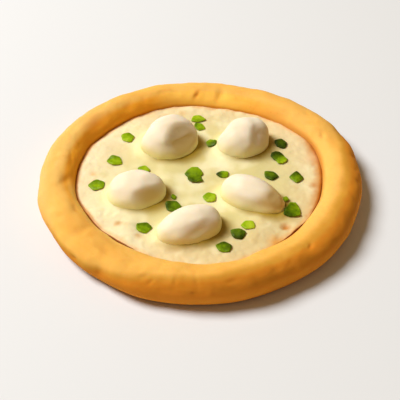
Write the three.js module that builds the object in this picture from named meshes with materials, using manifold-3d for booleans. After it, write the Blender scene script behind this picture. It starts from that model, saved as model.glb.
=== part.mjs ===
// A small round pizza bread: a dough disc with a thick rolled rim, a layer of melted cheese on it,
// five soft mozzarella balls sunk into the cheese, and torn bits of green herb between them.
// Millimetres, +Z up. The origin is on the flat underside, below the middle of the rim.
import * as THREE from 'three';
import { mergeVertices } from 'three/addons/utils/BufferGeometryUtils.js';
import Module from 'manifold-3d';

const wasm = await Module();
wasm.setup();

const degree = Math.PI / 180;
const up = new THREE.Vector3(0, 0, 1);
const clearance = 0.35; // gap kept between pieces that touch

// Dough. The rim's section is a half ellipse outwards and a wider one inwards, round the crest.
const crestRadius = 107;
const rimOutward = 13.4;
const rimInward = 14.3;
const rimHeight = 23.5;
const beltHeight = 12; // level at which the rim is widest
const footDepth = 13; // the lower quarter's ellipse, cut off flat by the underside
const floorHeight = 7;
const rimColumns = 128;
const rimSteps = 14; // from the inner wall over the crest to the belt
const footSteps = 4;

// Where the rolled rim swells or draws in: azimuth and spread in degrees, the rest in mm.
const swells = [
  { azimuth: 25, spread: 15, outer: 3.2, inner: 3.4, lift: 0.2 },
  { azimuth: 48, spread: 12, outer: 1.2, inner: 1.8, lift: 0.5 },
  { azimuth: 78, spread: 13, outer: -2.8, inner: 0, lift: -0.4 },
  { azimuth: 104, spread: 12, outer: 1.2, inner: 1.6, lift: 0.2 },
  { azimuth: 150, spread: 22, outer: 0.3, inner: 1.5, lift: 0.3 },
  { azimuth: 209, spread: 10, outer: -1.6, inner: -1.6, lift: -0.5 },
  { azimuth: 234, spread: 13, outer: -1.4, inner: -4.8, lift: -0.4 },
  { azimuth: 276, spread: 18, outer: -1.4, inner: 0.4, lift: 0.3 },
  { azimuth: 304, spread: 14, outer: -2.6, inner: -3.8, lift: -0.3 },
  { azimuth: 323, spread: 12, outer: -0.6, inner: -4.2, lift: 0.2 },
  { azimuth: 352, spread: 10, outer: 0, inner: -1.8, lift: 0 },
];

// Soft dents pressed into the crust: section 0 faces outwards, 90 is the crest, 180 the inner wall.
const dents = [
  { azimuth: 186, section: 121, radius: 7, depth: 1.3 },
  { azimuth: 188, section: 97, radius: 5, depth: 0.8 },
  { azimuth: 235, section: 32, radius: 6, depth: 1.2 },
  { azimuth: 313, section: 79, radius: 6, depth: 1.0 },
  { azimuth: 23, section: 106, radius: 8, depth: 1.2 },
  { azimuth: 79, section: 123, radius: 4.5, depth: 1.3 },
  { azimuth: 68, section: 124, radius: 6, depth: 0.8 },
  { azimuth: 128, section: 134, radius: 9, depth: 1.0 },
  { azimuth: 167, section: 137, radius: 8, depth: 0.9 },
  { azimuth: 143, section: 113, radius: 9, depth: 0.6 },
  { azimuth: 237, section: 76, radius: 7, depth: 0.7 },
  { azimuth: 219, section: 97, radius: 7, depth: 0.5 },
];

// Slow waves over the whole crust: whole turns around the rim and across its section.
const crustWaves = [
  { around: 5, across: 1, phase: 0.4, height: 0.35 },
  { around: 9, across: -1, phase: 2.1, height: 0.3 },
  { around: 14, across: 2, phase: 4.0, height: 0.22 },
  { around: 22, across: 2, phase: 1.2, height: 0.12 },
];

// Cheese. It thins from the middle to the rim, has a rolled edge, and swells in places.
const cheeseMiddle = 13.2;
const cheeseEdge = 12.0;
const cheeseRoll = 2.2;
const cheeseColumns = 96;
const cheeseRings = 9;
const rollSteps = 3;
const cheeseWave = { length: 46, height: 0.35 };
const mounds = [
  { x: -52, y: -62, radius: 17, height: 3.0 },
  { x: -76, y: -42, radius: 13, height: 2.4 },
  { x: 44, y: -56, radius: 13, height: 1.6 },
  { x: 66, y: -56, radius: 9, height: 2.4 },
  { x: 60, y: -53.5, radius: 4, height: -1.6 },
  { x: 88, y: -10, radius: 9, height: 1.2 },
  { x: 12, y: -84, radius: 16, height: 1.4 },
  { x: -50, y: -52, radius: 4, height: 0.9 },
  { x: -72, y: 40, radius: 14, height: 0.8 },
  { x: 72, y: 40, radius: 15, height: 0.8 },
];

// Mozzarella balls: half sizes along, across and up, turn in plan, taper towards the far end
// of the long axis. Hollows and ridges run between two directions given as azimuth, elevation.
const ballColumns = 24;
const ballRings = 12;
const ballBase = 9.3; // flat spot under each ball
const ballRise = 0.45; // centre above the cheese, as a share of the half height
const collar = { height: 1.3, spread: 6 }; // cheese drawn up round each ball
const balls = [
  {
    name: 'mozzarella_back_left', x: -23.5, y: 38.5, half: [22.3, 19.6, 17], turn: 0, taper: 0.04,
    folds: [
      { from: [-62, 73], to: [12, 34], width: 17, depth: 0.11 },
      { from: [-68, 36], to: [-17, 30], width: 15, depth: -0.05 },
      { from: [75, 57], to: [-98, 44], width: 14, depth: -0.04 },
    ],
  },
  {
    name: 'mozzarella_back_right', x: 34.5, y: 38.5, half: [20.3, 16.5, 15.4], turn: 25, taper: -0.03,
    folds: [
      { from: [-32, 62], to: [-45, 30], width: 16, depth: 0.07 },
      { from: [-39, 41], to: [-39, 40], width: 11, depth: 0.04 },
      { from: [31, 66], to: [-84, 31], width: 13, depth: -0.035 },
      { from: [22, 34], to: [36, 20], width: 16, depth: -0.07 },
    ],
  },
  {
    name: 'mozzarella_left', x: -45, y: -20, half: [20.6, 15.8, 12.8], turn: 2, taper: 0.06,
    folds: [{ from: [-10, 55], to: [-60, 25], width: 16, depth: 0.04 }],
  },
  {
    name: 'mozzarella_right', x: 39, y: -26.5, half: [23.9, 13.2, 12.6], turn: -27, taper: 0.22,
    folds: [{ from: [0, 60], to: [-30, 25], width: 17, depth: 0.04 }],
  },
  {
    name: 'mozzarella_front', x: -6.5, y: -57.5, half: [23.1, 14.6, 12.4], turn: 20, taper: -0.14,
    folds: [{ from: [-20, 55], to: [-70, 30], width: 16, depth: 0.04 }],
  },
];

// Herb bits: place in plan, turn of the first corner, and each corner's distance from the middle.
const herbThickness = 1.1;
const herbCup = 0.9; // how far the edge curls up
const herbs = [
  { x: -57.1, y: 48.2, turn: 10, corners: [5.4, 6, 6, 5.4, 6.6] },
  { x: -65.4, y: 19.4, turn: -30, corners: [7.4, 5.6, 6, 6.2, 5.6] },
  { x: -42.4, y: 7.6, turn: 5, corners: [5.2, 5, 5.4, 4.2, 4.6] },
  { x: -76, y: -8.9, turn: 30, corners: [6.4, 6.2, 7.2, 6, 6.4] },
  { x: -1.4, y: 72.4, turn: -10, corners: [7, 4.8, 5.6, 6.4, 4.2] },
  { x: -0.6, y: 61.4, turn: 50, corners: [4.2, 5.6, 4, 4.4, 5.8] },
  { x: 9, y: 39.5, turn: 28, corners: [4.8, 5, 4.4, 4.8, 5.4] },
  { x: 63.5, y: 40, turn: 10, corners: [5.2, 6, 5.4, 5, 7] },
  { x: 61, y: 22.1, turn: 20, corners: [5.4, 7, 7.4, 5, 7.4, 7.8] },
  { x: -4, y: 1.2, turn: 14, corners: [7, 8.2, 8.2, 6, 8, 9.2] },
  { x: 17.4, y: 2.5, turn: 35, corners: [5.2, 3.8, 5.4, 3.6, 4.6] },
  { x: 53.5, y: 1.5, turn: 62, corners: [5.2, 6.6, 5.2, 5.6, 6] },
  { x: 72.5, y: -0.6, turn: -5, corners: [5.8, 7, 5.8, 6.6] },
  { x: -19, y: -23, turn: 20, corners: [2.2, 2.6, 2, 2.6] },
  { x: -18.8, y: -33.5, turn: 0, corners: [6, 6.2, 7.4, 6, 6] },
  { x: 7.2, y: -23.5, turn: 30, corners: [5.2, 5, 5.4, 4.6, 5.8] },
  { x: 62.4, y: -25.9, turn: 80, corners: [3.8, 2.6, 4, 2.4] },
  { x: 66.4, y: -36.6, turn: 10, corners: [7, 8.2, 5.6, 8, 7.8, 7] },
  { x: -39, y: -55.5, turn: 0, corners: [6.2, 6, 6.4, 6, 6.6] },
  { x: 33.6, y: -52.8, turn: -35, corners: [6.4, 5.2, 4.6, 5, 4.4] },
  { x: 26.8, y: -60.8, turn: 8, corners: [5.6, 4.8, 6.4, 5.2, 5.6] },
  { x: 16.4, y: -73.8, turn: 90, corners: [5.8, 6.2, 5.4, 6.6, 6] },
];

// A bell-shaped falloff: 1 at the middle, near 0 from two spreads on.
const bell = (distance, spread) => Math.exp(-((distance / spread) ** 2));

// Signed difference of two angles in degrees, from -180 to 180.
const turnBetween = (a, b) => ((((a - b) % 360) + 540) % 360) - 180;

function finish(color, roughness) {
  return new THREE.MeshStandardMaterial({ color, roughness, metalness: 0 });
}

// A closed surface from rings of points, from an upper pole to a lower one. Each ring runs
// counter-clockwise seen from above, so the faces look outwards.
function closedRings(rings, upperPole, lowerPole) {
  const columns = rings[0].length;
  const points = [upperPole, lowerPole, ...rings.flat()];
  const at = (ring, column) => 2 + ring * columns + (column % columns);
  const last = rings.length - 1;
  const faces = [];
  for (let i = 0; i < columns; i++) {
    faces.push(0, at(0, i), at(0, i + 1));
    faces.push(1, at(last, i + 1), at(last, i));
    for (let ring = 0; ring < last; ring++) {
      faces.push(at(ring, i), at(ring + 1, i), at(ring + 1, i + 1));
      faces.push(at(ring, i), at(ring + 1, i + 1), at(ring, i + 1));
    }
  }
  const geometry = new THREE.BufferGeometry().setFromPoints(points);
  geometry.setIndex(faces);
  return geometry;
}

// What the swells add to one measure of the rim ('outer', 'inner' or 'lift') at an azimuth.
function swell(azimuth, measure) {
  return swells.reduce(
    (sum, s) => sum + s[measure] * bell(turnBetween(azimuth, s.azimuth), s.spread),
    0,
  );
}

const wallRadius = (azimuth) => crestRadius - rimInward + swell(azimuth, 'inner');

// How far the crust stands out of its plain section, along the section's normal.
function crustRelief(azimuth, section) {
  let relief = 0;
  for (const wave of crustWaves) {
    const angle = (wave.around * azimuth + wave.across * section) * degree + wave.phase;
    relief += wave.height * Math.sin(angle);
  }
  for (const dent of dents) {
    const along = turnBetween(azimuth, dent.azimuth) * degree * crestRadius;
    const across = (section - dent.section) * degree * rimOutward;
    relief -= dent.depth * bell(Math.hypot(along, across), dent.radius);
  }
  return relief;
}

// The relief fades out down the inner wall, where the cheese lies, and at the flat underside.
function reliefShare(c, s) {
  if (s < 0) return 1 + (s * footDepth) / beltHeight;
  return c < 0 ? Math.min(1, 1.5 * s) : 1;
}

// A point of the rim's skin. Below the belt the section is negative and runs down to the foot.
function rimPoint(azimuth, section) {
  const [c, s] = [Math.cos(section * degree), Math.sin(section * degree)];
  const reach = c > 0 ? rimOutward + swell(azimuth, 'outer') : rimInward - swell(azimuth, 'inner');
  const rise = s > 0 ? rimHeight + swell(azimuth, 'lift') - beltHeight : footDepth;
  const relief = crustRelief(azimuth, section) * reliefShare(c, s);
  const radius = crestRadius + (reach + relief) * c;
  const height = beltHeight + (rise + relief) * s;
  const turn = azimuth * degree;
  return new THREE.Vector3(radius * Math.cos(turn), radius * Math.sin(turn), Math.max(0, height));
}

function ringOf(columns, place) {
  return Array.from({ length: columns }, (_, i) => place((360 * i) / columns));
}

const flatPoint = (azimuth, radius, height) =>
  new THREE.Vector3(radius * Math.cos(azimuth * degree), radius * Math.sin(azimuth * degree), height);

// Base and rolled rim in one piece of dough, hollow only by its shallow floor under the cheese.
function breadGeometry() {
  const footSection = -Math.asin(beltHeight / footDepth) / degree;
  const rings = [ringOf(rimColumns, (azimuth) => flatPoint(azimuth, wallRadius(azimuth), floorHeight))];
  for (let i = 0; i <= rimSteps; i++) {
    rings.push(ringOf(rimColumns, (azimuth) => rimPoint(azimuth, 180 * (1 - i / rimSteps))));
  }
  for (let i = 1; i <= footSteps; i++) {
    rings.push(ringOf(rimColumns, (azimuth) => rimPoint(azimuth, (footSection * i) / footSteps)));
  }
  return closedRings(rings, new THREE.Vector3(0, 0, floorHeight), new THREE.Vector3(0, 0, 0));
}

// Distance outside a ball's widest outline in plan, in mm; negative inside it.
function outsideBall(ball, x, y) {
  const [dx, dy] = [x - ball.x, y - ball.y];
  const [c, s] = [Math.cos(ball.turn * degree), Math.sin(ball.turn * degree)];
  const [along, across] = [(dx * c + dy * s) / ball.half[0], (dy * c - dx * s) / ball.half[1]];
  return (Math.hypot(along, across) - 1) * Math.sqrt(ball.half[0] * ball.half[1]);
}

function cheeseTop(x, y) {
  const outward = Math.hypot(x, y) / crestRadius;
  let height = cheeseMiddle + (cheeseEdge - cheeseMiddle) * outward ** 2;
  const k = (2 * Math.PI) / cheeseWave.length;
  height += cheeseWave.height * Math.sin(k * (x + 0.4 * y)) * Math.sin(k * (1.2 * y - 0.5 * x) + 1);
  for (const mound of mounds) {
    height += mound.height * bell(Math.hypot(x - mound.x, y - mound.y), mound.radius);
  }
  for (const ball of balls) {
    height += collar.height * bell(Math.max(0, outsideBall(ball, x, y)), collar.spread);
  }
  return height;
}

function cheesePoint(azimuth, radius, drop) {
  const point = flatPoint(azimuth, radius, 0);
  point.z = cheeseTop(point.x, point.y) - drop;
  return point;
}

function cheeseGeometry() {
  const outline = (azimuth) => wallRadius(azimuth) - clearance;
  const rings = [];
  for (let i = 1; i <= cheeseRings; i++) {
    const share = i / cheeseRings;
    rings.push(
      ringOf(cheeseColumns, (azimuth) => cheesePoint(azimuth, (outline(azimuth) - cheeseRoll) * share, 0)),
    );
  }
  for (let i = 1; i <= rollSteps; i++) {
    const angle = (Math.PI / 2) * (i / rollSteps);
    const inset = cheeseRoll * (1 - Math.sin(angle));
    const drop = cheeseRoll * (1 - Math.cos(angle));
    rings.push(ringOf(cheeseColumns, (azimuth) => cheesePoint(azimuth, outline(azimuth) - inset, drop)));
  }
  const under = floorHeight + clearance;
  rings.push(ringOf(cheeseColumns, (azimuth) => flatPoint(azimuth, outline(azimuth), under)));
  const middle = new THREE.Vector3(0, 0, cheeseTop(0, 0));
  return closedRings(rings, middle, new THREE.Vector3(0, 0, under));
}

function direction([azimuth, elevation]) {
  const flat = Math.cos(elevation * degree);
  return new THREE.Vector3(
    flat * Math.cos(azimuth * degree),
    flat * Math.sin(azimuth * degree),
    Math.sin(elevation * degree),
  );
}

// Angle in degrees between a direction and the short arc that a fold runs along.
function awayFromFold(toward, fold) {
  const [from, to] = [direction(fold.from), direction(fold.to)];
  const span = to.clone().sub(from);
  const share = THREE.MathUtils.clamp(toward.clone().sub(from).dot(span) / span.lengthSq(), 0, 1);
  return toward.angleTo(from.addScaledVector(span, share)) / degree;
}

// A point on a ball's skin in a direction; grow makes the same ball larger all round.
function ballPoint(ball, toward, grow) {
  let scale = 1;
  for (const fold of ball.folds) {
    scale -= fold.depth * bell(awayFromFold(toward, fold), fold.width);
  }
  const local = toward.clone().applyAxisAngle(up, -ball.turn * degree);
  const slim = 1 - ball.taper * local.x;
  local.x *= ball.half[0] * scale + grow;
  local.y *= ball.half[1] * scale * slim + grow;
  local.z *= ball.half[2] * scale * slim + grow;
  local.applyAxisAngle(up, ball.turn * degree);
  local.z = Math.max(ballBase - grow, local.z + cheeseMiddle + ballRise * ball.half[2]);
  return local.add(new THREE.Vector3(ball.x, ball.y, 0));
}

function ballGeometry(ball, grow = 0) {
  const rings = [];
  for (let i = 1; i < ballRings; i++) {
    const elevation = 90 - (180 * i) / ballRings;
    rings.push(ringOf(ballColumns, (azimuth) => ballPoint(ball, direction([azimuth, elevation]), grow)));
  }
  const [top, bottom] = [direction([0, 90]), direction([0, -90])];
  return closedRings(rings, ballPoint(ball, top, grow), ballPoint(ball, bottom, grow));
}

// A herb bit's outline: its corners, with the middle of each side bowed a little outwards.
function herbOutline(herb) {
  const count = herb.corners.length;
  const corner = (i) => {
    const angle = (herb.turn + (360 * i) / count) * degree;
    const reach = herb.corners[i % count];
    return new THREE.Vector2(reach * Math.cos(angle), reach * Math.sin(angle));
  };
  const outline = [];
  for (let i = 0; i < count; i++) {
    outline.push(corner(i), corner(i).lerp(corner(i + 1), 0.5).multiplyScalar(1.12));
  }
  return outline;
}

// A thin cupped leaf that follows the cheese below it, its two faces split into triangles alike.
function herbGeometry(herb) {
  const outline = herbOutline(herb);
  const columns = outline.length;
  const skin = (share, column, lift) => {
    const flat = outline[column].clone().multiplyScalar(share);
    const [x, y] = [herb.x + flat.x, herb.y + flat.y];
    const wave = 1 + 0.5 * Math.sin(2 * flat.angle() + herb.x);
    return new THREE.Vector3(x, y, cheeseTop(x, y) + clearance + herbCup * wave * share ** 2 + lift);
  };
  const shares = [0.55, 1];
  const face = (lift) => [
    skin(0, 0, lift),
    ...shares.flatMap((share) => outline.map((_, column) => skin(share, column, lift * (1 - 0.3 * share)))),
  ];
  const points = [...face(herbThickness), ...face(0)];
  const under = 1 + shares.length * columns;
  const faces = [];
  const bothFaces = (a, b, c) => faces.push(a, b, c, under + a, under + c, under + b);
  for (let i = 0; i < columns; i++) {
    const next = (i + 1) % columns;
    const [innerA, innerB, outerA, outerB] = [1 + i, 1 + next, 1 + columns + i, 1 + columns + next];
    bothFaces(0, innerA, innerB);
    bothFaces(innerA, outerA, outerB);
    bothFaces(innerA, outerB, innerB);
    faces.push(outerA, under + outerA, under + outerB, outerA, under + outerB, outerB);
  }
  const geometry = new THREE.BufferGeometry().setFromPoints(points);
  geometry.setIndex(faces);
  return geometry;
}

function solidOf(geometry) {
  const merged = mergeVertices(geometry, 1e-4);
  const vertProperties = merged.attributes.position.array;
  return new wasm.Manifold(new wasm.Mesh({ numProp: 3, vertProperties, triVerts: merged.index.array }));
}

function geometryOf(solid) {
  const mesh = solid.getMesh();
  const geometry = new THREE.BufferGeometry();
  geometry.setAttribute('position', new THREE.BufferAttribute(mesh.vertProperties, 3));
  geometry.setIndex(new THREE.BufferAttribute(mesh.triVerts, 1));
  return geometry;
}

function piece(name, geometry, material) {
  const mesh = new THREE.Mesh(geometry, material);
  mesh.name = name;
  return mesh;
}

function bread() {
  return piece('bread', breadGeometry(), finish('#e9a54a', 0.72));
}

// The cheese is hollowed where the balls sink into it.
function cheese() {
  let solid = solidOf(cheeseGeometry());
  for (const ball of balls) {
    solid = solid.subtract(solidOf(ballGeometry(ball, clearance)));
  }
  return piece('cheese', geometryOf(solid), finish('#f7e6b0', 0.5));
}

function mozzarella() {
  return balls.map((ball) => piece(ball.name, ballGeometry(ball), finish('#f5ead2', 0.45)));
}

function herbBits() {
  return herbs.map((herb, i) => {
    const name = `herb_${String(i + 1).padStart(2, '0')}`;
    return piece(name, herbGeometry(herb), finish('#5f9a1e', 0.35));
  });
}

const pizzaBread = new THREE.Group();
pizzaBread.add(bread(), cheese(), ...mozzarella(), ...herbBits());

export default pizzaBread;
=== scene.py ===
import math
import bpy
import numpy as np
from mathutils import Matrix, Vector, noise


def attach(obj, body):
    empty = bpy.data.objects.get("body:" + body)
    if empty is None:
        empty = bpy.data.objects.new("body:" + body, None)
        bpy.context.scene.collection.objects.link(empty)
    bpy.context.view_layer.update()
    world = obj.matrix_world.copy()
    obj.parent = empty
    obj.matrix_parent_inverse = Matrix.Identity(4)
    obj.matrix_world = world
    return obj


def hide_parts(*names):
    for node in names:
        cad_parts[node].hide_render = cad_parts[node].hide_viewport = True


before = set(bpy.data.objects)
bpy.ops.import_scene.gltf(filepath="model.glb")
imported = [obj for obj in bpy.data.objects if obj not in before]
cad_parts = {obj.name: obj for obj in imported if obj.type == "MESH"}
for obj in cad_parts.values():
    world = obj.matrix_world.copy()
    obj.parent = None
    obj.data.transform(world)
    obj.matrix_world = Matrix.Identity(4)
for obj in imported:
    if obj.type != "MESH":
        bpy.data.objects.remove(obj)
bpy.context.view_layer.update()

# A small round pizza bread: a rolled golden rim, melted cheese, five soft mozzarella balls sunk
# into it and torn bits of green herb. Metres, +Z up, -Y to the viewer; the tables are in mm.
mm = 0.001
degree = math.pi / 180
weld = 0.01 * mm  # points closer than this become one


# A node tree whose nodes all come from one method, add().
class Net:
    def __init__(self, tree):
        self.tree = tree
        self.sizes = {}  # named inputs of a Geometry Nodes tree
        self.identifiers = {}

    def add(self, kind, settings=None, sockets=None, output=0):
        node = self.tree.nodes.new(kind)
        for name, value in (settings or {}).items():
            setattr(node, name, value)
        for name, value in (sockets or {}).items():
            for part in value if isinstance(value, list) else [value]:  # a list joins wires
                if isinstance(part, Wire):
                    self.tree.links.new(part.socket, node.inputs[name])
                else:
                    node.inputs[name].default_value = part
        return Wire(self, node.outputs[output]) if node.outputs else None

    def math(self, operation, *values):
        return self.add("ShaderNodeMath", {"operation": operation}, dict(enumerate(values)))

    def mix(self, share, low, high):
        # colours: low where share is 0, high where it is 1
        return self.add("ShaderNodeMix", {"data_type": "RGBA"}, {0: share, 6: low, 7: high}, 2)


# One socket with operators: an expression on values adds its Math nodes.
class Wire:
    def __init__(self, net, socket):
        self.net = net
        self.socket = socket

    def __add__(self, other):
        return self.net.math("ADD", self, other)

    def __sub__(self, other):
        return self.net.math("SUBTRACT", self, other)

    def __rsub__(self, other):
        return self.net.math("SUBTRACT", other, self)

    def __mul__(self, other):
        return self.net.math("MULTIPLY", self, other)

    def __truediv__(self, other):
        return self.net.math("DIVIDE", self, other)

    __radd__ = __add__
    __rmul__ = __mul__

    def sin(self):
        return self.net.math("SINE", self)

    def cos(self):
        return self.net.math("COSINE", self)

    def atMost(self, other):
        return self.net.math("MINIMUM", self, other)

    def atLeast(self, other):
        return self.net.math("MAXIMUM", self, other)

    def ramp(self, none, full, kind="LINEAR"):
        # 0 at none and beyond it, 1 at full and beyond it, straight between them
        sockets = {0: self, 1: none, 2: full, 3: 0.0, 4: 1.0}
        return self.net.add("ShaderNodeMapRange", {"interpolation_type": kind}, sockets)

    def fade(self, none, full):
        # a ramp with soft ends
        return self.ramp(none, full, "SMOOTHSTEP")


def hypot(a, b):
    square = a * a + b * b
    return square.net.math("SQRT", square)


def bell(distance, spread):
    # 1 at the middle, near 0 from two spreads on
    share = distance / spread
    return share.net.math("EXPONENT", share * share * -1)


def pick(test, yes, no):
    return (yes - no) * test + no


def separate(vector):
    first = vector.net.add("ShaderNodeSeparateXYZ", {}, {0: vector})
    return [Wire(vector.net, output) for output in first.socket.node.outputs]


def combine(net, x, y, z):
    return net.add("ShaderNodeCombineXYZ", {}, {0: x, 1: y, 2: z})


def grain(vector, size, detail=2, roughness=0.5, seed=0):
    # soft noise about 0, its lumps about one size across
    sockets = {
        "Vector": vector, "W": seed, "Scale": 1 / size, "Detail": detail, "Roughness": roughness,
    }
    return vector.net.add("ShaderNodeTexNoise", {"noise_dimensions": "4D"}, sockets) - 0.5


def bumps(height, strength, depth):
    sockets = {"Strength": strength, "Distance": depth, "Height": height}
    return height.net.add("ShaderNodeBump", {}, sockets)


# The cosine and the sine of an azimuth in degrees.
def heading(azimuth):
    return math.cos(azimuth * degree), math.sin(azimuth * degree)


# How far a place lies towards an azimuth.
def reachAlong(x, y, azimuth):
    c, s = heading(azimuth)
    return x * c + y * s


# How far a place faces an azimuth, from -1 to 1.
def facing(x, y, azimuth):
    return reachAlong(x, y, azimuth) / hypot(x, y)


# Masks for the sides that face an azimuth, from none to full as they turn to it.
def sidesOf(x, y):
    return lambda azimuth, none, full: facing(x, y, azimuth).fade(none, full)


# Steps in x and y from a place that is given in mm.
def stepsFrom(at, x, y):
    return x - at[0] * mm, y - at[1] * mm


# Geometry Nodes trees: named inputs from one dictionary of sizes.
def openTree(name, sizes, takesMesh=False):
    tree = bpy.data.node_groups.new(name, "GeometryNodeTree")
    net = Net(tree)
    tree.interface.new_socket("Geometry", in_out="OUTPUT", socket_type="NodeSocketGeometry")
    if takesMesh:
        tree.interface.new_socket("Geometry", in_out="INPUT", socket_type="NodeSocketGeometry")
    for key, value in sizes.items():
        kind = "NodeSocketInt" if isinstance(value, int) else "NodeSocketFloat"
        item = tree.interface.new_socket(key, in_out="INPUT", socket_type=kind)
        net.identifiers[key] = item.identifier
    group = net.add("NodeGroupInput").socket.node
    net.sizes = {output.name: Wire(net, output) for output in group.outputs if output.name}
    return net


# A number for each point that a material reads later, kept before the points are moved.
def keepFact(geometry, name, value):
    settings = {"data_type": "FLOAT", "domain": "POINT"}
    sockets = {0: geometry, "Name": name, "Value": value}
    return geometry.net.add("GeometryNodeStoreNamedAttribute", settings, sockets)


def readFact(net, name):
    return net.add("ShaderNodeAttribute", {"attribute_name": name}, {}, 2)


# A grid that is wrapped round the middle, with the azimuth in degrees and the row of its points.
def wrapGrid(net, rows):
    grid = net.add("GeometryNodeMeshGrid", {}, {
        "Size X": 1.0, "Size Y": 1.0, "Vertices X": net.sizes["columns"] + 1, "Vertices Y": rows + 1,
    })
    x, y, _ = separate(net.add("GeometryNodeInputPosition"))
    return grid, (x + 0.5) * 360, (y + 0.5) * rows


def closeTree(net, geometry, material):
    welded = net.add("GeometryNodeMergeByDistance", {}, {0: geometry, "Distance": weld})
    smooth = net.add("GeometryNodeSetShadeSmooth", {}, {0: welded})
    real = net.add("GeometryNodeRealizeInstances", {}, {0: smooth})
    done = net.add("GeometryNodeSetMaterial", {}, {0: real, "Material": material})
    net.add("NodeGroupOutput", {}, {0: done})


def addObject(name, data):
    thing = bpy.data.objects.new(name, data)
    bpy.context.scene.collection.objects.link(thing)
    return thing


# Numbers for each point of a mesh, by name.
def storeFacts(mesh, facts):
    for name, values in facts.items():
        mesh.attributes.new(name, "FLOAT", "POINT").data.foreach_set("value", values)


# Runs a tree, on a start mesh if it takes one, and keeps the result as a plain mesh.
def grow(name, net, sizes, start=None):
    piece = addObject(name, start or bpy.data.meshes.new(name))
    modifier = piece.modifiers.new("shape", "NODES")
    modifier.node_group = net.tree
    for key, value in sizes.items():
        modifier[net.identifiers[key]] = value
    evaluated = piece.evaluated_get(bpy.context.evaluated_depsgraph_get())
    shaped = bpy.data.meshes.new_from_object(evaluated)
    piece.modifiers.remove(modifier)
    piece.data = shaped
    print(f"{name}: {len(shaped.polygons)} faces")
    return piece


def dress(piece, slot, *nodes):
    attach(piece, "root")
    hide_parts(*nodes)


# Colours as they look on a screen, 0 to 255, turned into the linear ones that nodes use.
def paint(red, green, blue):
    shares = [level / 255 for level in (red, green, blue)]
    linear = [s / 12.92 if s <= 0.04045 else ((s + 0.055) / 1.055) ** 2.4 for s in shares]
    return (*linear, 1.0)


# Lays a colour over what is there by a share from 0 to 1.
def cover(base, share, red, green, blue):
    return base.net.mix(share, base, paint(red, green, blue))


# A material around one Principled shader: fixed values by name, then what varies over it.
def finish(name, fixed, varying):
    material = bpy.data.materials.new(name)
    material.use_nodes = True
    net = Net(material.node_tree)
    shader = material.node_tree.nodes["Principled BSDF"]
    for socket, value in fixed.items():
        shader.inputs[socket].default_value = value
    place = Wire(net, net.add("ShaderNodeTexCoord").socket.node.outputs["Object"])
    for socket, value in zip(("Base Color", "Roughness", "Normal"), varying(net, place)):
        net.tree.links.new(value.socket, shader.inputs[socket])
    return material


# Crust
crust = {
    "crestRadius": 107 * mm,
    "rimOutward": 13.4 * mm,
    "rimInward": 14.3 * mm,
    "rimHeight": 23.5 * mm,
    "beltHeight": 12 * mm,  # where the rim is widest
    "footDepth": 13 * mm,
    "floorHeight": 7 * mm,
    "inset": 0.35 * mm,  # keeps the lumps inside the rim's plain outline
    "doughLumps": 2.8 * mm,
    "lumpSize": 20 * mm,
    "doughRipples": 0.9 * mm,
    "rippleSize": 7 * mm,
    "columns": 720,
    "floorRows": 6,
    "wallRows": 104,
    "footRows": 6,
}

# Where the rolled rim swells or draws in: azimuth and spread in degrees, and in mm how far its
# outer and inner sides move outwards and its crest up.
swells = [
    {"at": 25, "spread": 15, "outer": 3.2, "inner": 3.4, "lift": 0.2},
    {"at": 48, "spread": 12, "outer": 1.2, "inner": 0.9, "lift": 0.5},
    {"at": 76, "spread": 18, "inner": -2.3},
    {"at": 78, "spread": 13, "outer": -2.8, "lift": -0.4},
    {"at": 104, "spread": 12, "outer": 1.2, "inner": 1.6, "lift": 0.2},
    {"at": 143, "spread": 10, "inner": -1.4},
    {"at": 150, "spread": 22, "outer": 0.3, "inner": 1.5, "lift": 0.3},
    {"at": 209, "spread": 10, "outer": -1.6, "inner": -2.5, "lift": -0.5},
    {"at": 223, "spread": 8, "inner": -2.0},
    {"at": 234, "spread": 13, "outer": -2.3, "lift": -0.4},
    {"at": 238, "spread": 13, "inner": -4.2},
    {"at": 258, "spread": 15, "inner": -2.3},
    {"at": 276, "spread": 18, "outer": -1.4, "inner": -0.8, "lift": 0.3},
    {"at": 296, "spread": 9, "inner": -1.9},
    {"at": 303, "spread": 14, "outer": -2.6, "inner": -3.4, "lift": -0.3},
    {"at": 323, "spread": 15, "outer": -0.6, "inner": -3.3, "lift": 0.2},
    {"at": 337, "spread": 8, "inner": -1.2},
    {"at": 351, "spread": 12, "inner": -1.6},
]

# Soft dents, at azimuth and section in degrees: section 0 faces outwards, 90 is the crest, 180
# the inner wall. Radius and depth in mm.
dents = [
    {"at": (186, 130), "radius": 8, "depth": 1.0},
    {"at": (188, 97), "radius": 5, "depth": 0.3},
    {"at": (235, 22), "radius": 6, "depth": 0.6},
    {"at": (313, 79), "radius": 6, "depth": 1.0},
    {"at": (23, 106), "radius": 8, "depth": 1.2},
    {"at": (79, 123), "radius": 4.5, "depth": 1.3},
    {"at": (68, 124), "radius": 6, "depth": 0.8},
    {"at": (128, 138), "radius": 8, "depth": 0.8},
    {"at": (167, 140), "radius": 8, "depth": 0.8},
    {"at": (144, 114), "radius": 9, "depth": 0.9},
    {"at": (237, 76), "radius": 7, "depth": 0.5},
    {"at": (219, 97), "radius": 7, "depth": 0.5},
]

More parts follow.
